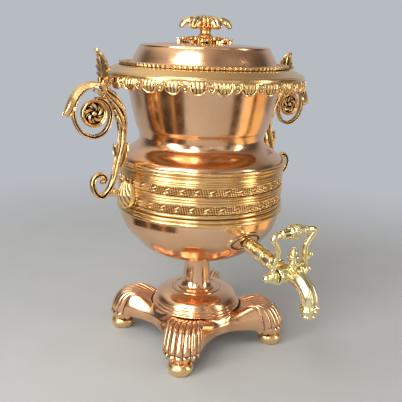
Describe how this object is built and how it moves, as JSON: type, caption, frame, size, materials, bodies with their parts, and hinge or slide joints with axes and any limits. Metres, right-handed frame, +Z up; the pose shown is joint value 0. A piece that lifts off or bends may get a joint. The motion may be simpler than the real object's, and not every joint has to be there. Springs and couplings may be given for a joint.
{
  "type": "samovar",
  "caption": "Copper and brass hot-water urn with lift-off lid, scroll handles, lever tap and inner sleeve for a heating iron, on a square plinth.",
  "frame": {"origin": "on the ground under the urn's vertical axis, at the centre of the four feet", "axes": "+Z up the urn's axis, the tap points to -Y, the handles lie along X"},
  "size_m": [0.3362, 0.3064, 0.38],
  "materials": {
    "copper_polished": "polished raised copper sheet, pink, lightly hand worn",
    "brass_moulding": "spun and stamped brass, golden, dark in the grooves",
    "brass_cast": "cast and chased brass, golden, dark brown in the recesses",
    "brass_tap": "turned and polished pale brass",
    "iron": "black scale",
    "fibre": "oiled leather sealing washers"
  },
  "bodies": {
    "urn": {"plinth": "copper_polished", "base_dome": "copper_polished", "stem": "copper_polished", "bun_foot_front_left": "brass_cast", "bun_foot_front_right": "brass_cast", "bun_foot_back_left": "brass_cast", "bun_foot_back_right": "brass_cast", "foot_studs": "iron", "foot_nuts": "brass_cast", "tie_anchor": "brass_cast", "tie_rod": "iron", "tie_washer": "iron", "tie_nut": "brass_cast", "lower_bowl": "copper_polished", "upper_body": "copper_polished", "belt_top_moulding": "brass_moulding", "vine_strip_upper": "brass_moulding", "belt_middle_moulding": "brass_moulding", "vine_strip_lower": "brass_moulding", "belt_bottom_moulding": "brass_moulding", "rim_flange": "brass_moulding", "rim_skirt": "brass_cast", "rim_gallery": "brass_cast", "handle_left": "brass_cast", "handle_right": "brass_cast", "handle_leaf_left": "brass_cast", "handle_leaf_right": "brass_cast", "volute_rosette_left": "brass_cast", "volute_rosette_right": "brass_cast", "handle_plate_left": "brass_cast", "handle_plate_right": "brass_cast", "rim_stay_left": "brass_cast", "rim_stay_right": "brass_cast", "stay_nuts": "brass_cast", "handle_bolts": "brass_cast", "bolt_washers": "fibre", "tap_escutcheon": "copper_polished", "tap_body": "brass_tap", "tap_finial": "brass_tap", "tap_washer": "fibre", "tap_back_nut": "brass_tap", "heater_sleeve": "copper_polished"},
    "lid": {"lid_dome": "copper_polished", "lid_bezel": "brass_moulding", "finial_rosette": "brass_cast", "finial_stem": "brass_cast", "finial_crown": "brass_cast", "finial_nut": "brass_cast"},
    "sleeve_cap": {"sleeve_cap": "copper_polished", "cap_knob": "brass_cast"},
    "heater_iron": {"heater_iron": "iron", "iron_eye": "iron"},
    "tap_plug": {"tap_plug": "brass_tap", "plug_washer": "brass_tap", "plug_nut": "brass_tap", "tap_bail": "brass_tap", "tap_grip": "brass_tap"}
  },
  "joints": [
    {"name": "lid_lift", "type": "slide", "parent": "urn", "child": "lid", "axis": [0, 0, 1], "range_m": [0, 0.4]},
    {"name": "sleeve_cap_lift", "type": "slide", "parent": "urn", "child": "sleeve_cap", "axis": [0, 0, 1], "range_m": [0, 0.32]},
    {"name": "iron_lift", "type": "slide", "parent": "urn", "child": "heater_iron", "axis": [0, 0, 1], "range_m": [0, 0.24]},
    {"name": "tap_turn", "type": "hinge", "parent": "urn", "child": "tap_plug", "pos_m": [0, -0.152, 0.1346], "axis": [1, 0, 0], "range_deg": [0, 90]}
  ],
  "couplings": [
    {"joint": "sleeve_cap_lift", "follows": "lid_lift", "ratio": 0.8},
    {"joint": "iron_lift", "follows": "lid_lift", "ratio": 0.6}
  ]
}
